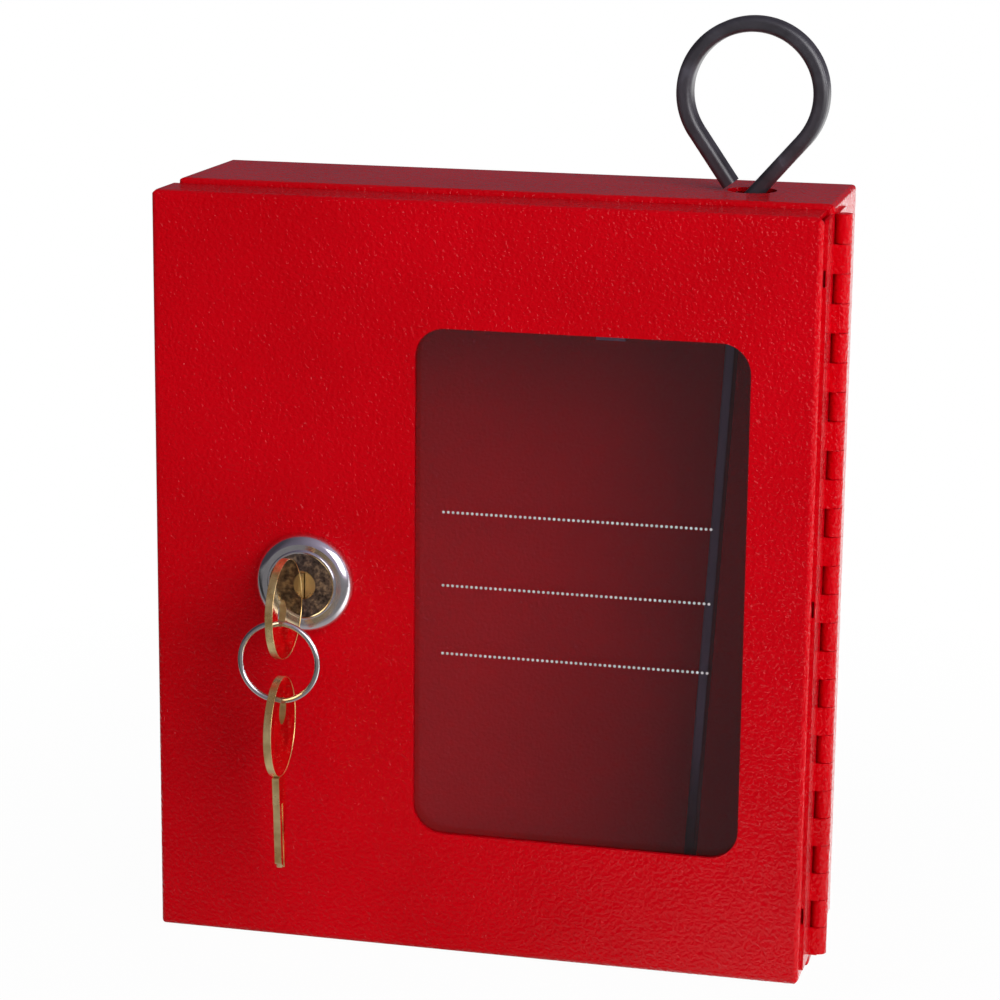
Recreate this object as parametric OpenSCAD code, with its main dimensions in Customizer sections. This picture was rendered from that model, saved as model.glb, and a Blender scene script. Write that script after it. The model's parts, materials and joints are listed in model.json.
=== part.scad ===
// Break glass key box: a shallow sheet steel wall case with a hinged, locked
// door, a breakable window pane, a cam lock with two keys on a wire ring, and
// a striker bar that stands in the case with its loop handle on top.
// The origin is on the outer face of the back panel, in the middle of the
// wall holes. X runs to the right of the door, Y into the wall, Z up.

/* [Case] */
// Width of the case over its side walls
body_w = 153.2; // [146:0.1:220]
// Height of the case over its top and bottom panels
body_h = 179.4; // [169:0.1:240]
// Depth of the case behind the door
body_d = 38.5; // [30:0.5:60]
// Thickness of the sheet steel
sheet = 1.0; // [0.8:0.1:1.4]
// Outside radius of the folded edges
fold_r = 1.3; // [0.4:0.1:1.6]
// Width of the flange that turns in round the mouth
mouth_flange = 8; // [6:0.5:10]
// Width between the wall holes
wall_hole_x = 127; // [60:0.5:130]
// Height between the wall holes
wall_hole_z = 127; // [60:0.5:140]
// Diameter of the wall holes
wall_hole_d = 5.5; // [3.5:0.1:7]

/* [Door] */
// Depth of the door tray
door_d = 13; // [11:0.5:20]
// Gap between the door tray and the mouth of the case
door_gap = 0.5; // [0.3:0.1:2]
// How far the door reaches past the left wall
left_overlap = 1.95; // [1:0.05:5]
// How far the door stands back from the right wall
right_step = 0.65; // [0.4:0.05:1]
// How far the top panel of the case stands above the door
top_step = 1.15; // [0.2:0.05:2]
// How far the door stands above the bottom panel of the case
bottom_step = 0.45; // [0.2:0.05:2]
// Size of the corner cuts on the face of the tray
corner_cut = 1.1; // [0.6:0.1:1.6]
// Height of the open corners between the top flange and the side flanges
notch_h = 1.6; // [1.2:0.1:3]

/* [Window] */
// Width of the window opening
window_w = 77; // [50:0.5:82]
// Height of the window opening
window_h = 120; // [80:0.5:125]
// Corner radius of the window opening
window_r = 7; // [3:0.5:15]
// From the right edge of the door to the window
window_right = 14.9; // [13:0.1:20]
// From the bottom edge of the door to the window
window_bottom = 29; // [26:0.1:34]
// Thickness of the pane
pane_t = 3; // [2:0.5:4]
// How far the pane reaches behind the door round the opening
pane_lap = 6.5; // [4:0.5:8]
// Length of the strips that clamp the pane
clip_len = 70; // [40:1:80]
// Diameter of the studs for the strips
stud_d = 3; // [2.5:0.5:4]

/* [Hinge] */
// Length of the hinge
hinge_len = 174; // [120:0.5:176]
// How far the middle of the hinge lies above the middle of the case
hinge_up = 0.75; // [0:0.05:1]
// Number of knuckles, an even number
knuckles = 26; // [12:2:40]
// Outside radius of the knuckles
knuckle_r = 1.9; // [1.8:0.05:2.2]
// Diameter of the hinge pin
pin_d = 2.2; // [1.6:0.1:2.4]
// Thickness of the hinge leaves
leaf_t = 0.8; // [0.6:0.1:1]
// Width of each leaf from the pin
leaf_w = 12.5; // [9:0.5:13]
// From the mouth of the case back to the hinge pin
pin_back = 1.5; // [1:0.1:3]

/* [Lock] */
// From the left edge of the door to the lock
lock_left = 36.75; // [30:0.05:43]
// From the bottom edge of the door to the lock
lock_up = 87.9; // [70:0.1:110]
// Diameter of the lock's threaded barrel
barrel_d = 19; // [17:0.5:20]
// Width across the two flats of the barrel
barrel_flats = 16; // [14.5:0.5:16.5]
// From the tip of the key in the lock to the end of the barrel
tip_room = 1.3; // [1.2:0.1:4]
// Diameter of the domed head
head_d = 23.4; // [22.5:0.1:26]
// How far the domed head stands out from the door
head_h = 4; // [4:0.5:7]
// Diameter of the plug
plug_d = 11.8; // [10.5:0.1:12.5]
// Radius of the plug's face disc
face_r = 7.5; // [7.5:0.1:8.5]
// How far the cam reaches behind the mouth flange
cam_bite = 3.9; // [2:0.1:5]

/* [Keys] */
// Diameter of the bow of a key
bow_d = 23; // [18:0.1:25]
// Thickness of a key
key_t = 1.6; // [1.6:0.1:2.1]
// Height of the blade of a key
blade_h = 5.2; // [4.6:0.1:5.4]
// Length of the blade of a key
blade_len = 16.5; // [13:0.1:20]
// Length of the neck between the bow and the shoulder
neck_len = 6.6; // [5:0.1:8]
// How far the neck goes into the plug
neck_in = 4.2; // [2:0.1:4.5]
// Diameter of the hole in the bow
bow_hole_d = 6.2; // [4:0.1:7]
// From the middle of the bow to its hole
bow_hole_off = 3.9; // [2:0.1:5]
// How far the middle of the bow lies below the middle of the blade
bow_drop = 2.2; // [0:0.1:2.6]
// Diameter of the key ring to the middle of its wire
ring_d = 18.2; // [16:0.1:30]
// Lean of the spare key, its tip towards the door
spare_lean = 5; // [0:0.5:8]
// Turn of the spare key about its length
spare_turn = 3; // [0:0.5:5]
// Diameter of the wire of the key ring
ring_wire = 1.3; // [0.8:0.1:1.8]

/* [Striker bar] */
// Thickness of the flat steel bar
bar_t = 2.4; // [2:0.1:3]
// Width of the flat steel bar
bar_w = 5.2; // [4:0.1:7]
// Wall of the black sleeve on the handle
sleeve_wall = 0.5; // [0.4:0.05:0.8]
// From the back panel to the plane of the bar
bar_from_back = 19; // [12:0.5:24]
// From the right wall of the case to the bar's hole
bar_from_right = 21.65; // [15:0.05:30]
// Diameter of the bar's hole in the top panel
bar_hole_d = 11.5; // [10:0.5:14]
// Slant of the bar, as run over rise
bar_slant = 0.0542; // [0.03:0.001:0.06]
// Radius of the loop handle to the middle of its band
loop_r = 15.7; // [12:0.5:25]
// Height of the loop's round part over the top panel
loop_rise = 6.4; // [4:0.05:12]
// Height of the foot of the bar over the bottom panel
bar_foot = 5; // [1:0.5:20]
// Length of the sleeve below the top panel
sleeve_drop = 14; // [8:1:40]

/* [Key hook] */
// Height of the hook plate over the middle of the case
hook_up = 66; // [20:1:70]
// Reach of the hook from the back panel
hook_reach = 14; // [8:1:18]

/* [Hidden] */
$fn = 48;

// A cut runs this far past the face that it opens
over = 1;
// Running clearance on a radius
run_fit = 0.05;
// Clearance of a loose hole on a radius
loose_fit = 0.2;
// Gap at rest between a loose piece and its seat
seat_gap = 0.3;

// Outer faces of the case
case_right = body_w / 2;
case_top = body_h / 2;
mouth_y = -body_d;
inner_back = -sheet;

// Outer faces of the door
door_h = body_h - top_step - bottom_step;
door_low = -case_top + bottom_step;
door_top = case_top - top_step;
door_left = -case_right - left_overlap;
door_right = case_right - right_step;
door_back = mouth_y - door_gap;
door_front = door_back - door_d;
door_skin = door_front + sheet;
door_mid = (door_left + door_right) / 2;
door_w = door_right - door_left;

// Window and pane
window_x = door_right - window_right - window_w / 2;
window_z = door_low + window_bottom + window_h / 2;
pane_w = window_w + 2 * pane_lap;
pane_h = window_h + 2 * pane_lap;
pane_back = door_skin + pane_t;

// Clamping strips and their studs
clip_t = 1;
clip_cover = 4.5;
clip_gap = 1;
clip_foot = 9;
stud_inset = 8;
stud_len = 6;
stud_x = clip_len / 2 - stud_inset;
stud_z = pane_h / 2 + clip_gap + clip_t + clip_foot / 2;
stud_end = door_skin + stud_len;
nut_t = 2.4;
nut_over_flats = 5.5;

// Hinge
wall_clear = 0.05;
pin_x = case_right + knuckle_r + wall_clear;
pin_y = mouth_y + pin_back;
pitch = hinge_len / knuckles;
knuckle_gap = 0.15;
notch_gap = 0.3;
// Weld notches in the front edge of the door's leaf, placed as shares of it
weld_notch = [1, 4.8, 3.8];
weld_at = [0.425, -0.006, -0.425];

// Lock
lock_x = door_left + lock_left;
lock_z = door_low + lock_up;
lock_face = door_front - head_h;
// The face disc lies recessed in the head, on the flange of the plug
face_recess = 0.3;
face_y = lock_face + face_recess;
face_t = 0.5;
flange_y = face_y + face_t;
plug_flange_t = 2;
boss_r = 3.4;
boss_y = face_y - 0.1;
plug_r = plug_d / 2;
bore_r = plug_r + run_fit;
// The neck of the key goes into the mouth of the keyway, up to its shoulder
key_stop = boss_y - 0.1 + neck_in;
key_play = 0.3;
keyway_w = key_t + key_play;
keyway_h = blade_h + key_play;
neck_h = blade_h + 0.5;
neck_room_h = neck_h + key_play;
keyway_end = key_stop + blade_len + 0.7;
barrel_end = key_stop + blade_len + tip_room;
// The stop washer's tab turns between two lugs on the end of the barrel
stop_t = 1.2;
stop_y = barrel_end + 0.1;
stop_r = 5.7;
tab_w = 4;
tab_at = 45;
lug_w = 3;
lug_at = 80;
lug_in = 6.2;
lug_out = 8.6;
// The hub of the cam lies behind the stop washer, and its arm steps forward
// beside the barrel to lie close behind the mouth flange
cam_t = 1.5;
cam_y = stop_y + stop_t;
arm_y = min(cam_y - 0.1, mouth_y + sheet + 0.5);
step_in = 10.4;
step_t = 1.6;
cam_w = 10;
cam_hub_r = 7.5;
cam_tip_r = 3;
cam_len = lock_left - left_overlap - mouth_flange + cam_bite;
tail_w = 6;
tail_end = cam_y + cam_t - 0.1;
screw_r = 1.5;
screw_in = 3;
screw_head_r = 4.2;
screw_head_t = 2;
screw_slot = 1;
washer_t = 0.8;
washer_rim = 2.8;
nut_thick = 3.5;
lock_nut_flats = 22;
// A wafer is a plate with a window for the key and an arm on a spring
wafer_count = 5;
wafer_t = 0.9;
wafer_pitch = 2.2;
wafer_first = key_stop + 3.7;
wafer_slot = 0.2;
wafer_left = -keyway_w / 2 - 1.95;
wafer_right = keyway_w / 2 + 1.05;
wafer_half = sqrt(pow(plug_r - 0.1, 2) - pow(wafer_left, 2));
arm_right = wafer_right + 1.4;
arm_low = 1.6;
arm_high = 3.2;
spring_r = 0.5;
spring_low = -1.8;
spring_h = arm_low - spring_low;

// Keys
bow_r = bow_d / 2;
bow_lap = 0.6;
bow_mid = neck_len + bow_r - bow_lap;
bow_y = key_stop - bow_mid;
bow_hole_y = bow_y - bow_hole_off;
// The ring hangs with its wire on the bottom of the bow's hole
hang_gap = 0.1;
ring_top_z = lock_z - bow_drop - bow_hole_d / 2 + ring_wire / 2 + hang_gap;
ring_z = ring_top_z - ring_d / 2;
// The spare key hangs with the top of its hole on the ring's wire
ring_low_z = ring_z - ring_d / 2;
spare_hole_z = ring_low_z - bow_hole_d / 2 + ring_wire / 2 + hang_gap;

// Striker bar, drawn in its own plane with z as the second coordinate
sleeve_t = bar_t + 2 * (sleeve_wall + run_fit);
sleeve_w = bar_w + 2 * (sleeve_wall + run_fit);
bar_edge_r = 0.4;
sleeve_edge_r = 1.2;
bar_y = -bar_from_back;
hole_x = case_right - bar_from_right;
loop_left = 0.3;
loop_c = [hole_x - loop_left, case_top + loop_rise + loop_r];
// The sleeve's cut end comes down at the left of the hole, near this point
cut_in = 0.85;
cut_near = [hole_x - bar_hole_d / 2 + cut_in, case_top + sleeve_t / 4];
// The other leg passes the top panel here, and runs on below it to a corner
pass_right = 0.8;
leg_below = 3.7;
pass = [hole_x + pass_right, case_top - sheet / 2];
bar_foot_z = -case_top + sheet + bar_foot;
bend_r = 6;
// Arcs are this much thicker than straight runs, which run on into them
arc_swell = 0.02;
run_in = 0.3;

function unit(v) = v / norm(v);
// Angle of the point where a line from p touches the loop, side 1 or -1
function touch_angle(p, side) =
    let (v = p - loop_c) atan2(v[1], v[0]) + side * acos(loop_r / norm(v));
function on_loop(a) = loop_c + loop_r * [cos(a), sin(a)];

// The end leans, so its lowest point lies below its middle, just above the
// top panel
cut_lean = abs(unit(cut_near - on_loop(touch_angle(cut_near, -1)))[0]);
cut_end = [cut_near[0], case_top + cut_lean * sleeve_t / 2 + seat_gap];
left_angle = touch_angle(cut_end, -1) + 360;
right_angle = touch_angle(pass, 1);
left_dir = unit(cut_end - on_loop(left_angle));
leg_dir = unit(pass - on_loop(right_angle));
bar_dir = -unit([bar_slant, 1]);
corner = pass + leg_dir * leg_below;
bend_angle = acos(leg_dir * bar_dir);
bend_cut = bend_r * tan(bend_angle / 2);
bend_start = corner - leg_dir * bend_cut;
bend_end = corner + bar_dir * bend_cut;
// The bend curves about a centre to the right of the leg's direction
bend_c = bend_start + bend_r * [-leg_dir[1], leg_dir[0]];
bar_end = bend_end + bar_dir * (bend_end[1] - bar_foot_z) / -bar_dir[1];
sleeve_end = bend_end + bar_dir * (sleeve_drop - (case_top - bend_end[1]));

// Rectangle about the origin with round corners
module round_rect(w, h, r) {
    square([w - 2 * r, h], center = true);
    square([w, h - 2 * r], center = true);
    for (x = [-1, 1]) {
        for (z = [-1, 1]) {
            translate([x * (w / 2 - r), z * (h / 2 - r)])
                circle(r);
        }
    }
}

// Extrudes a shape drawn in X and Z from y0 to y1
module along_y(y0, y1) {
    translate([0, y1, 0])
        rotate([90, 0, 0])
            linear_extrude(height = y1 - y0)
                children();
}

// Extrudes a shape drawn in Y and Z over a width about X = 0
module along_x(w) {
    rotate([90, 0, 90])
        linear_extrude(height = w, center = true)
            children();
}

// Extrudes a shape drawn in X and Y over a height about Z = 0
module along_z(h) {
    linear_extrude(height = h, center = true)
        children();
}

// Box from one corner to the opposite one
module block(low, high) {
    translate(low)
        cube(high - low);
}

// Round bar along Y
module rod_y(r, y0, y1) {
    translate([0, y1, 0])
        rotate([90, 0, 0])
            cylinder(r = r, h = y1 - y0);
}

// Outside of the case, with every folded edge round
module case_outside() {
    intersection() {
        along_y(mouth_y, 0)
            round_rect(body_w, body_h, fold_r);
        along_x(body_w + 2 * over)
            translate([mouth_y / 2, 0])
                round_rect(body_d, body_h, fold_r);
        along_z(body_h + 2 * over)
            translate([0, mouth_y / 2])
                round_rect(body_w, body_d, fold_r);
    }
}

module case_body() {
    color("firebrick")
        difference() {
            case_outside();
            block([-case_right + sheet, mouth_y + sheet, -case_top + sheet],
                  [case_right - sheet, inner_back, case_top - sheet]);
            block([-case_right + mouth_flange, mouth_y - over, -case_top + mouth_flange],
                  [case_right - mouth_flange, mouth_y + 2 * sheet, case_top - mouth_flange]);
            translate([hole_x, bar_y, case_top - 2 * sheet])
                cylinder(d = bar_hole_d, h = 4 * sheet);
            for (x = [-1, 1]) {
                for (z = [-1, 1]) {
                    translate([x * wall_hole_x / 2, 0, z * wall_hole_z / 2])
                        rod_y(wall_hole_d / 2, -2 * sheet, over);
                }
            }
        }
}

module key_hook() {
    plate_h = 26;
    plate_t = 1.2;
    hook_w = 7;
    tip_h = 7;
    base = inner_back - plate_t;
    color("silver")
        translate([window_x, 0, hook_up])
            union() {
                block([-hook_w, base, -plate_h / 2], [hook_w, inner_back, plate_h / 2]);
                block([-hook_w / 2, base - hook_reach, -plate_h / 2],
                      [hook_w / 2, base, -plate_h / 2 + plate_t]);
                block([-hook_w / 2, base - hook_reach - plate_t, -plate_h / 2],
                      [hook_w / 2, base - hook_reach, -plate_h / 2 + tip_h]);
            }
}

// One leaf: a plate that ends short of the other leaf's knuckles, and its own
// knuckles, each with the tab that joins it to the plate. The plate's inner
// face lies at x = face, it reaches along Y to its edge, and a tab fills the
// rectangle from tab_low to tab_high.
module hinge_leaf(face, to_edge, first, tab_low, tab_high) {
    edge = to_edge * leaf_w;
    root = to_edge * (knuckle_r + notch_gap);
    difference() {
        union() {
            block([face, min(root, edge), -hinge_len / 2],
                  [face + leaf_t, max(root, edge), hinge_len / 2]);
            for (i = [first : 2 : knuckles - 1]) {
                translate([0, 0, -hinge_len / 2 + i * pitch + knuckle_gap / 2])
                    linear_extrude(height = pitch - knuckle_gap) {
                        circle(knuckle_r);
                        translate(tab_low)
                            square(tab_high - tab_low);
                    }
            }
        }
        cylinder(d = pin_d + 2 * run_fit, h = hinge_len + 2 * over, center = true);
    }
}

// Puts its children at the middle of the hinge pin
module on_pin() {
    translate([pin_x, pin_y, hinge_up])
        children();
}

module hinge_leaf_case() {
    face = case_right - pin_x;
    color("firebrick")
        on_pin()
            hinge_leaf(face, 1, 1, [face, 0], [face + leaf_t, knuckle_r + notch_gap + over]);
}

// The door's knuckles reach their leaf in front of the mouth of the case
module hinge_leaf_door() {
    face = door_right - pin_x;
    tab_back = -pin_back - 0.1;
    color("firebrick")
        on_pin()
            difference() {
                hinge_leaf(face, -1, 0, [face, tab_back - leaf_t - 0.1], [0, tab_back]);
                for (at = weld_at) {
                    translate([face, -leaf_w, at * hinge_len])
                        cube(weld_notch, center = true);
                }
            }
}

module hinge_pin() {
    color("dimgray")
        on_pin()
            cylinder(d = pin_d, h = hinge_len - knuckle_gap, center = true);
}

// Outside of the door tray, with the front edges round
module door_outside() {
    mid_y = (door_front + door_back) / 2;
    intersection() {
        translate([door_mid, 0, (door_low + door_top) / 2])
            along_z(door_h)
                translate([0, mid_y]) {
                    round_rect(door_w, door_d, fold_r);
                    translate([0, door_d / 4])
                        square([door_w, door_d / 2], center = true);
                }
        translate([door_mid, 0, (door_low + door_top) / 2])
            along_x(door_w)
                translate([mid_y, 0]) {
                    round_rect(door_d, door_h, fold_r);
                    translate([door_d / 4, 0])
                        square([door_d / 2, door_h], center = true);
                }
    }
}

module door_panel() {
    color("firebrick")
        difference() {
            door_outside();
            block([door_left + sheet, door_skin, door_low + sheet],
                  [door_right - sheet, door_back + over, door_top - sheet]);
            along_y(door_front - over, door_skin + over)
                translate([window_x, window_z])
                    round_rect(window_w, window_h, window_r);
            for (x = [door_left, door_right]) {
                for (z = [door_low, door_top]) {
                    translate([x, 0, z])
                        rotate([0, 45, 0])
                            cube([corner_cut * sqrt(2), 4 * body_d, corner_cut * sqrt(2)], center = true);
                }
                translate([x, door_skin + door_d, door_top])
                    cube([2 * sheet + 0.1, 2 * door_d, 2 * notch_h], center = true);
            }
            translate([lock_x, 0, lock_z])
                barrel_shape(door_front - over, door_skin + over, loose_fit);
        }
}

module window_pane() {
    color([0.35, 0.1, 0.12, 0.5])
        translate([window_x, (door_skin + pane_back) / 2, window_z])
            cube([pane_w, pane_t, pane_h], center = true);
}

// Strip with a foot on the door and a step over the edge of the pane. Its
// outline is drawn in Y and Z with the edge of the pane at z = 0.
module pane_clip() {
    step_z = clip_gap + clip_t;
    difference() {
        along_x(clip_len)
            polygon([[door_skin, clip_gap], [door_skin, step_z + clip_foot],
                     [door_skin + clip_t, step_z + clip_foot], [door_skin + clip_t, step_z],
                     [pane_back + clip_t, step_z], [pane_back + clip_t, -clip_cover],
                     [pane_back, -clip_cover], [pane_back, clip_gap]]);
        for (x = [-1, 1]) {
            translate([x * stud_x, 0, stud_z - pane_h / 2])
                rod_y(stud_d / 2 + loose_fit, door_skin - over, pane_back + over);
        }
    }
}

module pane_clip_top() {
    color("gainsboro")
        translate([window_x, 0, window_z + pane_h / 2])
            pane_clip();
}

module pane_clip_bottom() {
    color("gainsboro")
        translate([window_x, 0, window_z - pane_h / 2])
            mirror([0, 0, 1])
                pane_clip();
}

// Puts its children at the four studs of the clamping strips
module at_studs() {
    for (x = [-1, 1]) {
        for (z = [-1, 1]) {
            translate([window_x + x * stud_x, 0, window_z + z * stud_z])
                children();
        }
    }
}

module clip_studs() {
    color("silver")
        at_studs()
            rod_y(stud_d / 2, door_skin, stud_end);
}

module clip_nuts() {
    color("silver")
        at_studs()
            difference() {
                rotate([90, 0, 0])
                    translate([0, 0, -door_skin - clip_t - nut_t])
                        cylinder(r = nut_over_flats / sqrt(3), h = nut_t, $fn = 6);
                rod_y(stud_d / 2 + run_fit, door_skin, stud_end);
            }
}

// Threaded barrel with its two flats, from y0 to y1
module barrel_shape(y0, y1, grow) {
    intersection() {
        rod_y(barrel_d / 2 + grow, y0, y1);
        translate([0, (y0 + y1) / 2, 0])
            cube([barrel_flats + 2 * grow, y1 - y0, 2 * barrel_d], center = true);
    }
}

// Places a piece of the lock on the lock's axis
module on_lock() {
    translate([lock_x, 0, lock_z])
        children();
}

// Domed head of the lock with a crowned rim round its face, turned from its
// half section
module domed_head() {
    rim_w = 0.7;
    rim_h = 0.55;
    crown_r = 0.55;
    crown_x = face_r + rim_w / 2;
    foot_h = 0.8;
    dome_r = head_h - foot_h - rim_h + 0.05;
    translate([0, door_front, 0])
        rotate([90, 0, 0])
            rotate_extrude()
                difference() {
                    union() {
                        square([head_d / 2 - dome_r, head_h - rim_h]);
                        square([face_r + rim_w, head_h - rim_h / 2]);
                        intersection() {
                            translate([crown_x, head_h - crown_r])
                                circle(crown_r, $fn = 48);
                            square([face_r + rim_w, head_h]);
                        }
                        square([head_d / 2, foot_h]);
                        translate([0, foot_h])
                            intersection() {
                                translate([head_d / 2 - dome_r, 0])
                                    circle(dome_r, $fn = 64);
                                square([head_d / 2, head_h - foot_h - rim_h]);
                            }
                    }
                    translate([-over, -over])
                        square([bore_r + over, head_h + 2 * over]);
                    translate([-over, door_front - flange_y - plug_flange_t - 0.1])
                        square([face_r + run_fit + over, head_h]);
                }
}

module lock_housing() {
    color("silver")
        on_lock() {
            domed_head();
            difference() {
                barrel_shape(door_front, barrel_end, 0);
                rod_y(bore_r, door_front - over, barrel_end + over);
            }
            for (a = [lug_at, -lug_at]) {
                rotate([0, -a, 0])
                    block([lug_in, barrel_end, -lug_w / 2], [lug_out, barrel_end + stop_t, lug_w / 2]);
            }
        }
}

module lock_washer() {
    color("silver")
        on_lock()
            difference() {
                rod_y(barrel_d / 2 + washer_rim, door_skin, door_skin + washer_t);
                barrel_shape(door_skin - over, door_skin + washer_t + over, loose_fit);
            }
}

module lock_nut() {
    y0 = door_skin + washer_t;
    color("silver")
        on_lock()
            difference() {
                rotate([90, 0, 0])
                    translate([0, 0, -y0 - nut_thick])
                        cylinder(r = lock_nut_flats / sqrt(3), h = nut_thick, $fn = 6);
                rod_y(barrel_d / 2 + run_fit, y0 - over, y0 + nut_thick + over);
            }
}

// Slot through the plug for a wafer, with a pocket for its arm and spring
module wafer_room() {
    depth = wafer_t + wafer_slot;
    block([wafer_left - wafer_slot, -wafer_slot / 2, -plug_d],
          [wafer_right + wafer_slot, depth - wafer_slot / 2, plug_d]);
    block([wafer_right, -wafer_slot / 2, spring_low],
          [arm_right + wafer_slot, depth - wafer_slot / 2, arm_high + wafer_slot]);
}

module lock_plug() {
    color("goldenrod")
        on_lock()
            difference() {
                union() {
                    rod_y(boss_r, boss_y, flange_y);
                    rod_y(face_r, flange_y, flange_y + plug_flange_t);
                    rod_y(plug_r, flange_y, barrel_end);
                    translate([0, (barrel_end + tail_end) / 2, 0])
                        cube([tail_w, tail_end - barrel_end, tail_w], center = true);
                }
                block([-keyway_w / 2, boss_y - over, -keyway_h / 2],
                      [keyway_w / 2, keyway_end, keyway_h / 2]);
                block([-keyway_w / 2, boss_y - over, -neck_room_h / 2],
                      [keyway_w / 2, key_stop + key_play, neck_room_h / 2]);
                for (i = [0 : wafer_count - 1]) {
                    translate([0, wafer_first + i * wafer_pitch, 0])
                        wafer_room();
                }
                rod_y(screw_r + run_fit, tail_end - screw_in - seat_gap, tail_end + over);
            }
}

module plug_face() {
    color("dimgray")
        on_lock()
            difference() {
                rod_y(face_r, face_y, flange_y);
                rod_y(boss_r + run_fit, face_y - over, flange_y + over);
            }
}

module wafers() {
    color("khaki")
        on_lock()
            for (i = [0 : wafer_count - 1]) {
                translate([0, wafer_first + i * wafer_pitch, 0])
                    difference() {
                        union() {
                            block([wafer_left, 0, -wafer_half], [wafer_right, wafer_t, wafer_half]);
                            block([wafer_right - over, 0, arm_low], [arm_right, wafer_t, arm_high]);
                        }
                        cube([keyway_w + 2 * run_fit, 4 * wafer_t, keyway_h + 2 * loose_fit],
                             center = true);
                    }
            }
}

module wafer_springs() {
    color("silver")
        on_lock()
            for (i = [0 : wafer_count - 1]) {
                y = wafer_first + i * wafer_pitch + wafer_t / 2;
                translate([(wafer_right + arm_right) / 2, y, spring_low])
                    difference() {
                        cylinder(r = spring_r, h = spring_h);
                        translate([0, 0, -over])
                            cylinder(r = spring_r / 2, h = spring_h + 2 * over);
                    }
            }
}

// Square hole for the tail of the plug
module tail_room() {
    translate([0, tail_end, 0])
        cube([tail_w + 2 * run_fit, 4 * body_d, tail_w + 2 * run_fit], center = true);
}

module stop_washer() {
    color("silver")
        on_lock()
            difference() {
                union() {
                    rod_y(stop_r, stop_y, stop_y + stop_t);
                    rotate([0, -tab_at, 0])
                        block([0, stop_y, -tab_w / 2], [lug_out, stop_y + stop_t, tab_w / 2]);
                }
                tail_room();
            }
}

module lock_cam() {
    color("silver")
        on_lock()
            difference() {
                union() {
                    rod_y(cam_hub_r, cam_y, cam_y + cam_t);
                    block([-cam_w / 2, cam_y, -step_in - step_t], [cam_w / 2, cam_y + cam_t, 0]);
                    block([-cam_w / 2, arm_y, -step_in - step_t], [cam_w / 2, cam_y + cam_t, -step_in]);
                    along_y(arm_y, arm_y + cam_t)
                        translate([0, -(step_in + cam_len) / 2])
                            round_rect(cam_w, cam_len - step_in, cam_tip_r);
                }
                tail_room();
            }
}

module cam_screw() {
    head_y = cam_y + cam_t;
    color("silver")
        on_lock()
            difference() {
                union() {
                    rod_y(screw_r, tail_end - screw_in, head_y);
                    rod_y(screw_head_r, head_y, head_y + screw_head_t);
                }
                translate([0, head_y + screw_head_t, 0])
                    cube([screw_slot, 2 * screw_slot, 4 * screw_head_r], center = true);
            }
}

// A key in the plane of Y and Z, its shoulder at y = 0 and its blade along +Y
module key_shape() {
    tip = 2;
    cut_depth = 1.1;
    cut_first = 4.1;
    groove_w = 1.1;
    groove_d = 0.4;
    groove_from = 0.4;
    top = blade_h / 2;
    difference() {
        union() {
            translate([0, -bow_mid, -bow_drop])
                rotate([0, 90, 0])
                    cylinder(r = bow_r, h = key_t, center = true, $fn = 96);
            block([-key_t / 2, -neck_len, -neck_h / 2], [key_t / 2, 0, neck_h / 2]);
            along_x(key_t)
                polygon([[-over, top], [blade_len - tip, top], [blade_len, top - tip],
                         [blade_len, -top + tip], [blade_len - tip, -top],
                         for (i = [wafer_count - 1 : -1 : 0])
                             for (p = [[0.8, 0], [0.3, 1], [-0.3, 1], [-0.8, 0]])
                                 [cut_first + i * wafer_pitch + p[0],
                                  -top + p[1] * cut_depth * (0.5 + 0.5 * abs(sin(100 * i + 40)))],
                         [-over, -top]]);
        }
        translate([0, -bow_mid - bow_hole_off, -bow_drop])
            rotate([0, 90, 0])
                cylinder(d = bow_hole_d, h = 2 * key_t, center = true);
        block([key_t / 2 - groove_d, groove_from, groove_w], [key_t, blade_len + over, 2 * groove_w]);
        block([-key_t, groove_from, 0], [-key_t / 2 + groove_d, blade_len + over, groove_w]);
    }
}

module key_in_lock() {
    color("gold")
        translate([lock_x, key_stop, lock_z])
            key_shape();
}

// The key hangs from its hole with its blade down and its cuts to the door
module spare_key() {
    color("gold")
        translate([lock_x, bow_hole_y, spare_hole_z])
            rotate([0, 0, spare_turn])
                rotate([spare_lean, 0, 0])
                    rotate([-90, 0, 180])
                        translate([0, bow_mid + bow_hole_off, bow_drop])
                            key_shape();
}

module key_ring() {
    color("silver")
        translate([lock_x, bow_hole_y, ring_z])
            rotate([90, 0, 0])
                rotate_extrude($fn = 96)
                    translate([ring_d / 2, 0])
                        circle(ring_wire / 2);
}

// Band between two points of the bar's plane: t thick in the plane, w wide
// across it, its edges round to r
module plane_band(a, b, t, w, r) {
    d = b - a;
    translate([a[0], a[1], 0])
        rotate([0, 0, atan2(d[1], d[0])])
            rotate([90, 0, 90])
                linear_extrude(height = norm(d))
                    round_rect(t, w, r);
}

// Band along an arc of the bar's plane, from angle a0 to a1. It is a hair
// thicker than the straight runs, whose ends lie inside it.
module plane_arc(c, radius, a0, a1, t, w, r) {
    translate([c[0], c[1], 0])
        rotate([0, 0, a0])
            rotate_extrude(angle = a1 - a0, $fn = 96)
                translate([radius, 0])
                    round_rect(t + 2 * arc_swell, w + 2 * arc_swell, r + arc_swell);
}

// The bent run from a point on the straight bar up to the loop's end
module bent_run(from, to, t, w, r) {
    from_angle = atan2(bend_end[1] - bend_c[1], bend_end[0] - bend_c[0]);
    plane_band(from, bend_end - run_in * bar_dir, t, w, r);
    plane_arc(bend_c, bend_r, from_angle - bend_angle, from_angle, t, w, r);
    plane_band(bend_start + run_in * leg_dir, on_loop(right_angle) - run_in * leg_dir, t, w, r);
    plane_arc(loop_c, loop_r, right_angle, left_angle, t, w, r);
    plane_band(on_loop(left_angle) - run_in * left_dir, to, t, w, r);
}

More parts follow.
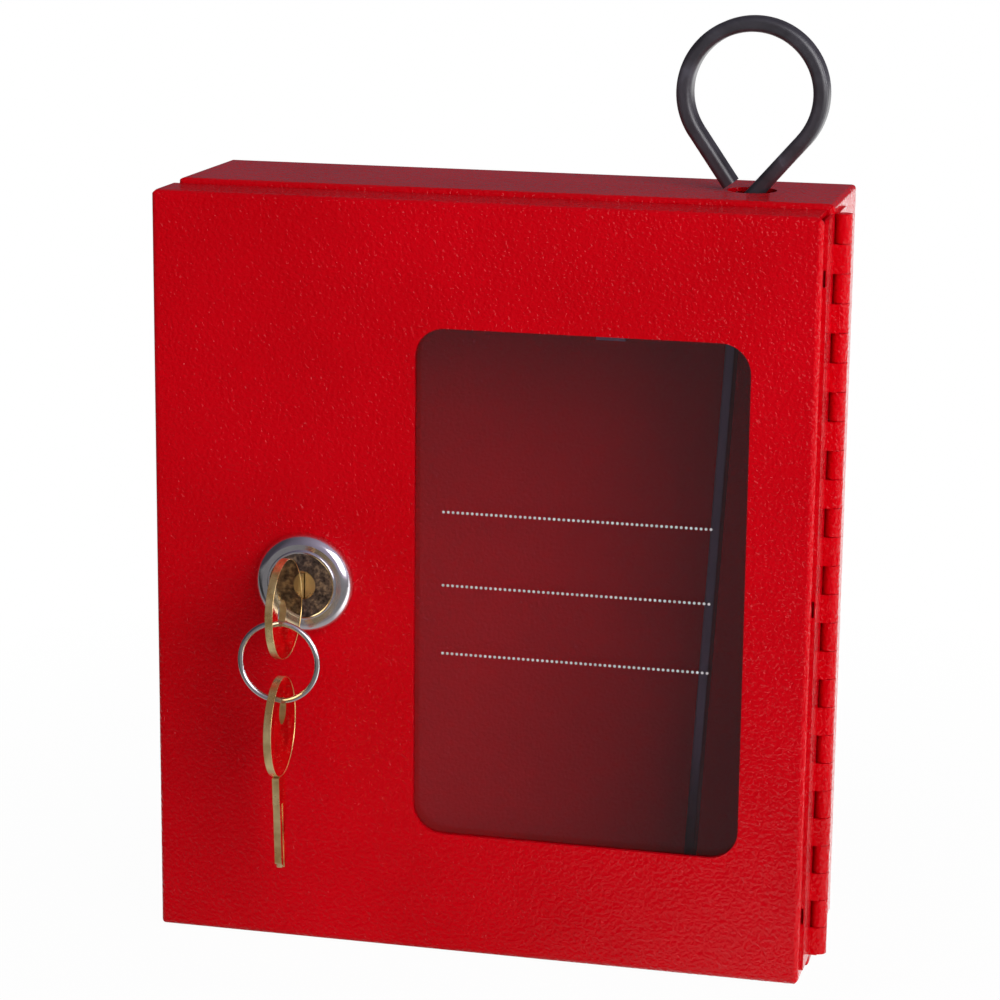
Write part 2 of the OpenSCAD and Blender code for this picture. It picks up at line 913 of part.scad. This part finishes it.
// Stands the bar's plane upright at its place in the case
module in_bar_plane() {
    translate([0, bar_y, 0])
        rotate([90, 0, 0])
            children();
}

module striker_bar() {
    inset = 1.5;
    color("dimgray")
        in_bar_plane()
            bent_run(bar_end, cut_end - inset * left_dir, bar_t, bar_w, bar_edge_r);
}

module handle_sleeve() {
    color([0.12, 0.12, 0.13])
        in_bar_plane()
            difference() {
                bent_run(sleeve_end, cut_end, sleeve_t, sleeve_w, sleeve_edge_r);
                bent_run(sleeve_end + over * bar_dir, cut_end + over * left_dir,
                         bar_t + 2 * run_fit, bar_w + 2 * run_fit, bar_edge_r + run_fit);
            }
}

case_body();
key_hook();
hinge_leaf_case();
hinge_pin();
door_panel();
hinge_leaf_door();
window_pane();
pane_clip_top();
pane_clip_bottom();
clip_studs();
clip_nuts();
lock_housing();
lock_washer();
lock_nut();
lock_plug();
plug_face();
wafers();
wafer_springs();
stop_washer();
lock_cam();
cam_screw();
key_in_lock();
key_ring();
spare_key();
striker_bar();
handle_sleeve();
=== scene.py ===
import json
import math

import bmesh
import bpy
from mathutils import Matrix, Vector

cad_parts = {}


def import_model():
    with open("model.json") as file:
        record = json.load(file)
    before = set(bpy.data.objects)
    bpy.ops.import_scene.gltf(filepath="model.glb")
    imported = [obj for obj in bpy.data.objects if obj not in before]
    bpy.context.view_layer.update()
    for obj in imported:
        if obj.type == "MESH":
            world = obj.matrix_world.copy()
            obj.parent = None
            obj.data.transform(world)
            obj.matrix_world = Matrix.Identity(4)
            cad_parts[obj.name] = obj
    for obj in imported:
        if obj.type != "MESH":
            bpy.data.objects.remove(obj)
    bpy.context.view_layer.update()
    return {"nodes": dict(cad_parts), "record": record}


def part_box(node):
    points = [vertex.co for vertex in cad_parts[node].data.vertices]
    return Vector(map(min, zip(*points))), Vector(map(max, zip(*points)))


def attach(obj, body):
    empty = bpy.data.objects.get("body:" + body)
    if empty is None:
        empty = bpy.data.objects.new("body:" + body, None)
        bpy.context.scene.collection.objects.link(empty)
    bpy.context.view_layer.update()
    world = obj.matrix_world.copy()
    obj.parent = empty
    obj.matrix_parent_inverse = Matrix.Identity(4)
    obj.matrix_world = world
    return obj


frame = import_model()
nodes = frame["nodes"]
scene = bpy.context.scene

# Camera, at the photograph's viewing angle
CAMERA_AT = (0.16305, -0.71977, 0.17959)
CAMERA_TURN = math.radians(13.37)
CAMERA_DROP = math.radians(13.01)
CAMERA_ROLL = math.radians(0.633)
LENS_MM = 111.53
SENSOR_MM = 36
CLIP_START = 0.01

# World: white where the camera sees it, its level as a light, and the levels of
# the room that metal and glass mirror: on the left, on the right and behind the box
WHITE = (1, 1, 1, 1)
WHITE_LEVEL = 1.0
WORLD_LEVEL = 0.22
LEFT_LEVEL = 0.05
RIGHT_LEVEL = 0.5
BACK_LEVEL = 0.11
ROOM_TINT = (0.95, 0.85, 1.1, 1)
ROOM_X = (-0.7, 0.7)
ROOM_BACK_Y = (-0.2, 0.7)

# Floor as it is mirrored, a glow that only mirrors see and that paints reflections on
# the box: its levels in front of the box, behind it, in a strip close to its front and
# beside it on the left, and where each fades in or out
FLOOR_FRONT = 0.2
FLOOR_BACK = 1.5
FLOOR_NEAR = 1.9
FLOOR_LEFT = 0.08
BACK_Y = (-0.06, 0.0)
LEFT_X = (-0.22, -0.1)
LEFT_Y = (-0.45, -0.2)
NEAR_START_Y = (-0.13, -0.1)
NEAR_END_Y = (-0.055, -0.02)
NEAR_X = (0.0, 0.06)
NEAR_LEFT_SHARE = 0.1

# Floor as it is seen: the share of plain white, and where it gets to full white
FLOOR_SHADE = (0.8, 0.8, 0.8, 1)
WHITE_SHARE = (0.975, 1.0)
WHITE_RADIUS = (0.1, 0.3)
FLOOR_HALF = 3
FLOOR_GAP = 0.0002

# Lamps: name, place, width, height, watts and whether mirrors show it
TARGET = (0, -0.03, 0)
LAMPS = (
    ("key_light", (0.8, -0.75, 0.5), 0.85, 0.85, 8.8, True),
    ("fill_light", (-1.2, -0.9, 0.5), 0.8, 1.0, 2.2, False),
    ("side_light", (1.3, 0.15, 0.3), 0.4, 1.0, 4.5, True),
)

# Metals: colour, lowest and highest roughness, and a scale along each axis where
# the grain is stretched. The grain darkens the colour by a fixed share
METALS = {
    "chrome": ((0.86, 0.82, 0.86, 1), (0.14, 0.22)),
    "zinc_steel": ((0.54, 0.52, 0.5, 1), (0.28, 0.42)),
    "nickel": ((0.7, 0.68, 0.64, 1), (0.14, 0.26)),
    "brass": ((0.9, 0.68, 0.38, 1), (0.22, 0.34)),
    "spring_steel": ((0.58, 0.58, 0.6, 1), (0.25, 0.35)),
    "ring_steel": ((0.78, 0.76, 0.76, 1), (0.16, 0.26)),
    "bar_steel": ((0.3, 0.29, 0.29, 1), (0.34, 0.48), (1, 1, 0.1)),
}
GRAIN_SHADE = 0.86

# Dotted rules on the pane
RULE_MIDDLE = 0.02185
RULE_HALF = 0.0310
RULE_HEIGHTS = (0.01709, -0.00023, -0.01645)
DOTS = 56
DOT_R = 0.00033
DOT_T = 0.00004
DOT_LIFT = 0.00003
DOT_SIDES = 12

# Keys: the bow, its rims, the hole in it, and how the spare key hangs
BOW_R = 0.0115
BOW_HALF_T = 0.0008
HOLE_TO_MIDDLE = 0.0039
RIM_R = 0.00012
RIM_STEPS = 72
RIM_SIDES = 8
KEY_X = -0.0418
KEY_HOLE_Y = -0.0731
KEY_MIDDLE_Z = -0.00355
SPARE_HOLE_Z = -0.02645
SPARE_TURN = math.radians(3)
SPARE_TILT = math.radians(5)

# Places taken from the frame
pane_low, pane_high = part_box("window_pane")
floor_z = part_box("case_body")[0].z


def linear(r, g, b):
    """A colour given as it shows on a screen, 0 to 255, as light."""
    out = []
    for value in (r, g, b):
        share = value / 255
        if share <= 0.04045:
            out.append(share / 12.92)
        else:
            out.append(((share + 0.055) / 1.055) ** 2.4)
    return (*out, 1.0)


class Tree:
    """A node tree, with short calls for what the materials and the world share."""

    def __init__(self, tree):
        self.tree = tree

    def add(self, kind, **settings):
        node = self.tree.nodes.new(kind)
        for key, value in settings.items():
            setattr(node, key, value)
        return node

    def link(self, source, target):
        self.tree.links.new(source, target)

    def split(self, vector):
        """The X, Y and Z of a vector."""
        node = self.add("ShaderNodeSeparateXYZ")
        self.link(vector, node.inputs[0])
        return node.outputs

    def calc(self, operation, *sources, clamp=False):
        node = self.add("ShaderNodeMath", operation=operation, use_clamp=clamp)
        for source, socket in zip(sources, node.inputs):
            self.link(source, socket)
        return node.outputs[0]

    def times(self, one, other):
        return self.calc("MULTIPLY", one, other)

    def spread(self, value, to, over=(0.0, 1.0), kind="LINEAR"):
        """A value that goes over a range, mapped to another range."""
        node = self.add("ShaderNodeMapRange", interpolation_type=kind)
        for side, ends in (("From", over), ("To", to)):
            for mark, value_there in zip(("Min", "Max"), ends):
                node.inputs[f"{side} {mark}"].default_value = value_there
        self.link(value, node.inputs["Value"])
        return node.outputs["Result"]

    def blend(self, share, source, value):
        """A value that goes from a source to a fixed value with the share."""
        node = self.add("ShaderNodeMix", data_type="FLOAT")
        self.link(share, node.inputs[0])
        self.link(source, node.inputs[2])
        node.inputs[3].default_value = value
        return node.outputs[0]

    def mix_shaders(self, share, one, other):
        node = self.add("ShaderNodeMixShader")
        self.link(share, node.inputs["Fac"])
        self.link(one, node.inputs[1])
        self.link(other, node.inputs[2])
        return node.outputs["Shader"]

    def seen_rays(self):
        """Two shares: rays that show the background (camera, glossy and
        transmission), and camera rays alone."""
        path = self.add("ShaderNodeLightPath")
        camera_ray = path.outputs["Is Camera Ray"]
        seen = camera_ray
        for name in ("Is Glossy Ray", "Is Transmission Ray"):
            seen = self.calc("ADD", seen, path.outputs[name], clamp=True)
        return seen, camera_ray


class Paint(Tree):
    """The node tree of a new material."""

    def __init__(self, name):
        self.material = bpy.data.materials.new(name)
        self.material.use_nodes = True
        super().__init__(self.material.node_tree)
        self.shader = self.tree.nodes["Principled BSDF"]
        self.output = self.tree.nodes["Material Output"]
        self.object_place = self.add("ShaderNodeTexCoord").outputs["Object"]

    def set(self, **values):
        for key, value in values.items():
            self.shader.inputs[key.replace("_", " ")].default_value = value

    def drive(self, **sources):
        """Links sources to the shader's sockets."""
        for key, source in sources.items():
            self.link(source, self.shader.inputs[key.replace("_", " ")])

    def stretched(self, scale):
        """Object coordinates scaled along each axis."""
        mapping = self.add("ShaderNodeMapping")
        mapping.inputs["Scale"].default_value = scale
        self.link(self.object_place, mapping.inputs["Vector"])
        return mapping.outputs["Vector"]

    def noise(self, scale, detail, rough=0.5, place=None, distort=0.0):
        node = self.add("ShaderNodeTexNoise")
        node.inputs["Scale"].default_value = scale
        node.inputs["Detail"].default_value = detail
        node.inputs["Roughness"].default_value = rough
        node.inputs["Distortion"].default_value = distort
        self.link(place or self.object_place, node.inputs["Vector"])
        return node.outputs["Fac"]

    def ramp(self, value, *stops):
        """A colour ramp over a value, from (place, colour) stops."""
        node = self.add("ShaderNodeValToRGB")
        marks = node.color_ramp.elements
        while len(marks) < len(stops):
            marks.new(0.5)
        for mark, (place, colour) in zip(marks, stops):
            mark.position = place
            mark.color = colour
        self.link(value, node.inputs["Fac"])
        return node.outputs["Color"]

    def bump(self, height, strength, distance, under=None):
        node = self.add("ShaderNodeBump")
        node.inputs["Strength"].default_value = strength
        node.inputs["Distance"].default_value = distance
        self.link(height, node.inputs["Height"])
        if under is not None:
            self.link(under, node.inputs["Normal"])
        return node.outputs["Normal"]


def red_paint():
    """Semi-gloss powder coat with a leathery orange-peel skin."""
    t = Paint("red_paint")
    peel = t.noise(scale=1100, detail=1, distort=0.3)
    t.drive(
        Base_Color=t.ramp(
            t.noise(scale=24, detail=3),
            (0.3, linear(206, 0, 14)),
            (0.7, linear(220, 0, 18)),
        ),
        Roughness=t.spread(t.noise(scale=90, detail=3), to=(0.4, 0.5)),
        Normal=t.bump(peel, strength=0.3, distance=0.0008),
        Coat_Normal=t.bump(peel, strength=0.6, distance=0.0013),
    )
    t.set(Specular_IOR_Level=0.0, Coat_Weight=1.0, Coat_IOR=1.2, Coat_Roughness=0.07)
    return t.material


def worn_gloss(t, low, high, place=None):
    """A metal's roughness, with faint wear."""
    wear = t.noise(scale=160, detail=4, rough=0.6, place=place)
    return t.spread(wear, to=(low, high), over=(0.3, 0.7))


def fine_scratches(t, place=None):
    """A metal's faint unevenness."""
    scratches = t.noise(scale=900, detail=3, rough=0.6, place=place)
    return t.bump(scratches, strength=0.08, distance=0.0001)


def polished_metal(name, shade, gloss, stretch=None):
    """A bright metal, with faint wear in its gloss."""
    t = Paint(name)
    place = t.stretched(stretch) if stretch else None
    dark = tuple(GRAIN_SHADE * value for value in shade[:3]) + (1.0,)
    grain = t.noise(scale=300, detail=4, rough=0.6, place=place)
    t.drive(
        Base_Color=t.ramp(grain, (0.25, dark), (0.75, shade)),
        Roughness=worn_gloss(t, *gloss, place=place),
        Normal=fine_scratches(t, place),
    )
    t.set(Metallic=1.0)
    return t.material


def key_metal():
    """Key brass: mirror-bright on the flat sides, brushed on the cut edges."""
    t = Paint("key_brass")
    facing = t.split(t.add("ShaderNodeTexCoord").outputs["Normal"])["X"]
    flat = t.spread(t.calc("ABSOLUTE", facing), to=(0.0, 1.0), over=(0.7, 0.95))
    tarnish = t.noise(scale=150, detail=3)
    t.drive(
        Base_Color=t.ramp(
            tarnish,
            (0.38, (0.6, 0.38, 0.14, 1)),
            (0.6, (1.0, 0.78, 0.38, 1)),
        ),
        Roughness=t.blend(flat, worn_gloss(t, low=0.22, high=0.34), value=0.07),
        Metallic=t.spread(flat, to=(0.8, 1.0)),
        Normal=fine_scratches(t),
    )
    return t.material


def dark_disc():
    """Dark face of the lock, pitted, with the metal worn through in specks."""
    t = Paint("dark_disc")
    pits = t.noise(scale=760, detail=4, rough=0.65)
    t.drive(
        Base_Color=t.ramp(
            pits,
            (0.36, linear(46, 38, 38)),
            (0.52, linear(98, 82, 74)),
            (0.66, linear(160, 136, 112)),
        ),
        Roughness=t.spread(t.noise(scale=500, detail=3), to=(0.3, 0.5)),
        Normal=t.bump(pits, strength=0.5, distance=0.0003),
    )
    t.set(Metallic=0.5)
    return t.material


def black_vinyl():
    """Dipped black sleeve of the handle, with lighter bluish streaks along its length.
    """
    t = Paint("black_vinyl")
    along = t.stretched((1, 0.35, 1))
    long_streaks = t.noise(scale=90, detail=4, rough=0.6, place=along, distort=0.6)
    dents = t.bump(long_streaks, strength=0.2, distance=0.0006)
    skin = t.noise(scale=700, detail=3)
    t.drive(
        # Lighter bluish grey in long streaks along the sleeve, at random places
        Base_Color=t.ramp(
            long_streaks,
            (0.35, linear(36, 33, 38)),
            (0.62, linear(60, 58, 66)),
            (0.75, linear(92, 92, 104)),
        ),
        Roughness=t.spread(t.noise(scale=220, detail=3), to=(0.32, 0.48)),
        Normal=t.bump(skin, strength=0.15, distance=0.0002, under=dents),
    )
    t.set(Specular_IOR_Level=0.9)
    return t.material


def pane_glass():
    """Breakable tinted pane, darker to the right with painted shade, that lets lamps
    through.
    """
    t = Paint("pane")
    # The colour darkens to the right: painted shade standing in for the shadow and dark
    # reflection on that side of the pane
    painted_shade_across = t.spread(
        t.split(t.object_place)["X"], to=(0.0, 1.0), over=(pane_low.x, pane_high.x)
    )
    waves = t.noise(scale=22, detail=2)
    t.drive(
        Base_Color=t.ramp(
            painted_shade_across,
            (0.1, (0.86, 0.56, 0.77, 1)),
            (0.9, (0.57, 0.5, 0.62, 1)),
        ),
        Normal=t.bump(waves, strength=0.05, distance=0.002),
    )
    t.set(Transmission_Weight=1.0, IOR=1.49, Roughness=0.03)
    clear = t.add("ShaderNodeBsdfTransparent")
    clear.inputs["Color"].default_value = (0.8, 0.72, 0.76, 1)
    to_lamp = t.add("ShaderNodeLightPath").outputs["Is Shadow Ray"]
    surface = t.mix_shaders(to_lamp, t.shader.outputs["BSDF"], clear.outputs["BSDF"])
    t.link(surface, t.output.inputs["Surface"])
    return t.material


def print_white():
    """White dots printed on the pane."""
    t = Paint("print_white")
    t.drive(
        Base_Color=t.ramp(
            t.noise(scale=700, detail=2),
            (0.3, linear(196, 190, 192)),
            (0.7, linear(232, 228, 230)),
        ),
        Roughness=t.spread(t.noise(scale=300, detail=2), to=(0.45, 0.6)),
    )
    return t.material


def dress_nodes():
    """Gives each CAD node the material that its record names."""
    for part in frame["record"]["subparts"]:
        mesh = nodes[part["node"]].data
        mesh.materials.clear()
        mesh.materials.append(materials[part["material_slot"]])


def new_piece(name, work, material, body):
    """Turns a bmesh into a piece that rides on a body."""
    mesh = bpy.data.meshes.new(name)
    work.to_mesh(mesh)
    work.free()
    mesh.materials.append(material)
    piece = bpy.data.objects.new(name, mesh)
    scene.collection.objects.link(piece)
    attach(piece, body)
    return piece


def dotted_rules():
    """Three dotted rules on the front of the pane, each a row of thin discs."""
    flat = Matrix.Rotation(math.radians(90), 4, "X")
    work = bmesh.new()
    for height in RULE_HEIGHTS:
        for i in range(DOTS):
            x = RULE_MIDDLE - RULE_HALF + 2 * RULE_HALF * i / (DOTS - 1)
            place = Matrix.Translation((x, pane_low.y - DOT_LIFT, height)) @ flat
            bmesh.ops.create_cone(
                work, cap_ends=True, segments=DOT_SIDES,
                radius1=DOT_R, radius2=DOT_R, depth=DOT_T, matrix=place,
            )
    return new_piece("dotted_rules", work, print_white(), "door")


def bow_rims(name, turn, offset, body):
    """Raised rims along both edges of a key's bow, each a fine round bead."""
    work = bmesh.new()
    for side in (-1, 1):
        rings = []
        for i in range(RIM_STEPS):
            angle = 2 * math.pi * i / RIM_STEPS
            ring = []
            for j in range(RIM_SIDES):
                tilt = 2 * math.pi * j / RIM_SIDES
                away = BOW_R - RIM_R + RIM_R * math.cos(tilt)
                at = Vector((
                    side * BOW_HALF_T + RIM_R * math.sin(tilt),
                    away * math.sin(angle),
                    away * math.cos(angle),
                ))
                ring.append(work.verts.new(turn @ at + offset))
            rings.append(ring)
        for i in range(RIM_STEPS):
            ahead = rings[(i + 1) % RIM_STEPS]
            for j in range(RIM_SIDES):
                k = (j + 1) % RIM_SIDES
                work.faces.new((rings[i][j], ahead[j], ahead[k], rings[i][k]))
    bmesh.ops.recalc_face_normals(work, faces=work.faces)
    for face in work.faces:
        face.smooth = True
    return new_piece(name, work, materials["key_brass"], body)


def key_rims():
    """The rims of the key in the lock, and of the spare key that hangs askew."""
    middle = Vector((KEY_X, KEY_HOLE_Y + HOLE_TO_MIDDLE, KEY_MIDDLE_Z))
    bow_rims("bow_rims_key", Matrix.Identity(3), middle, "key")
    askew = Matrix.Rotation(SPARE_TURN, 3, "Z") @ Matrix.Rotation(SPARE_TILT, 3, "X")
    spare_hole = Vector((KEY_X, KEY_HOLE_Y, SPARE_HOLE_Z))
    spare_middle = spare_hole + askew @ Vector((0, 0, -HOLE_TO_MIDDLE))
    bow_rims("bow_rims_spare", askew, spare_middle, "spare")


def camera():
    data = bpy.data.cameras.new("camera")
    data.lens = LENS_MM
    data.sensor_width = SENSOR_MM
    data.clip_start = CLIP_START
    obj = bpy.data.objects.new("camera", data)
    scene.collection.objects.link(obj)
    forward = Vector((
        -math.sin(CAMERA_TURN) * math.cos(CAMERA_DROP),
        math.cos(CAMERA_TURN) * math.cos(CAMERA_DROP),
        -math.sin(CAMERA_DROP),
    ))
    right = forward.cross(Vector((0, 0, 1))).normalized()
    up = right.cross(forward)
    rolled_right = math.cos(CAMERA_ROLL) * right + math.sin(CAMERA_ROLL) * up
    rolled_up = math.cos(CAMERA_ROLL) * up - math.sin(CAMERA_ROLL) * right
    axes = Matrix((rolled_right, rolled_up, -forward)).transposed()
    obj.matrix_world = Matrix.Translation(CAMERA_AT) @ axes.to_4x4()
    scene.camera = obj


def lamp(name, at, width, height, watts, mirrored):
    """A soft box: an area lamp that points at the middle of the box."""
    data = bpy.data.lights.new(name, "AREA")
    data.shape = "RECTANGLE"
    data.size = width
    data.size_y = height
    data.energy = watts
    obj = bpy.data.objects.new(name, data)
    scene.collection.objects.link(obj)
    aim = (Vector(TARGET) - Vector(at)).to_track_quat("-Z", "Y")
    obj.matrix_world = Matrix.Translation(at) @ aim.to_matrix().to_4x4()
    obj.visible_glossy = mirrored


def floor_paper():
    """White paper that keeps a trace of the object's shadow. For mirrors it glows as a
    painted reflection:
    dim in front of the box and on the left, and bright close to the box and behind."""
    t = Paint("floor")
    t.set(Base_Color=FLOOR_SHADE, Roughness=0.9, Specular_IOR_Level=0.1)
    seen, camera_ray = t.seen_rays()
    place = t.split(t.object_place)
    x, y = place["X"], place["Y"]
    left = t.times(
        t.spread(x, to=(1.0, 0.0), over=LEFT_X),
        t.spread(y, to=(0.0, 1.0), over=LEFT_Y),
    )
    wide = t.times(
        t.spread(y, to=(FLOOR_FRONT, FLOOR_BACK), over=BACK_Y),
        t.spread(left, to=(1.0, FLOOR_LEFT)),
    )
    strip = t.times(
        t.spread(y, to=(0.0, 1.0), over=NEAR_START_Y),
        t.spread(y, to=(1.0, 0.0), over=NEAR_END_Y),
    )
    near = t.times(strip, t.spread(x, to=(NEAR_LEFT_SHARE, 1.0), over=NEAR_X))
    # Glow that only mirrors see: a painted reflection, brightest in the strip close to
    # the box's front
    mirrored = t.blend(near, wide, FLOOR_NEAR)
    glow = t.add("ShaderNodeEmission")
    t.link(t.blend(camera_ray, mirrored, WHITE_LEVEL), glow.inputs["Strength"])
    away = t.add("ShaderNodeVectorMath", operation="LENGTH")
    t.link(t.object_place, away.inputs[0])
    white = t.spread(away.outputs["Value"], to=WHITE_SHARE, over=WHITE_RADIUS)
    surface = t.mix_shaders(
        t.times(white, seen), t.shader.outputs["BSDF"], glow.outputs["Emission"]
    )
    t.link(surface, t.output.inputs["Surface"])
    return t.material


def stage():
    """A pale floor under the box."""
    work = bmesh.new()
    bmesh.ops.create_grid(work, x_segments=1, y_segments=1, size=FLOOR_HALF)
    mesh = bpy.data.meshes.new("floor")
    work.to_mesh(mesh)
    work.free()
    mesh.materials.append(floor_paper())
    floor = bpy.data.objects.new("floor", mesh)
    floor.location = (0, 0, floor_z - FLOOR_GAP)
    scene.collection.objects.link(floor)


def world():
    """White where it is seen, dim grey as a light, and in mirrors a room that is
    dark on the left and bright on the right."""
    sky = bpy.data.worlds.new("world")
    scene.world = sky
    sky.use_nodes = True
    sky.node_tree.nodes.clear()
    t = Tree(sky.node_tree)
    seen, camera_ray = t.seen_rays()
    place = t.split(t.add("ShaderNodeTexCoord").outputs["Generated"])
    side = t.spread(place["X"], to=(LEFT_LEVEL, RIGHT_LEVEL), over=ROOM_X)
    behind = t.spread(place["Y"], to=(0.0, 1.0), over=ROOM_BACK_Y, kind="SMOOTHSTEP")
    room = t.blend(behind, side, BACK_LEVEL)
    shade = t.add("ShaderNodeMix", data_type="RGBA")
    t.link(camera_ray, shade.inputs[0])
    shade.inputs[6].default_value = ROOM_TINT
    shade.inputs[7].default_value = WHITE
    shown = t.add("ShaderNodeBackground")
    t.link(t.blend(camera_ray, room, WHITE_LEVEL), shown.inputs["Strength"])
    t.link(shade.outputs[2], shown.inputs["Color"])
    dim = t.add("ShaderNodeBackground")
    dim.inputs["Color"].default_value = WHITE
    dim.inputs["Strength"].default_value = WORLD_LEVEL
    out = t.add("ShaderNodeOutputWorld")
    surface = t.mix_shaders(seen, dim.outputs["Background"], shown.outputs["Background"])
    t.link(surface, out.inputs["Surface"])


materials = {name: polished_metal(name, *look) for name, look in METALS.items()}
materials["red_paint"] = red_paint()
materials["key_brass"] = key_metal()
materials["dark_disc"] = dark_disc()
materials["black_vinyl"] = black_vinyl()
materials["pane"] = pane_glass()

dress_nodes()
dotted_rules()
key_rims()
camera()
stage()
world()
for values in LAMPS:
    lamp(*values)

scene.view_settings.view_transform = "Standard"
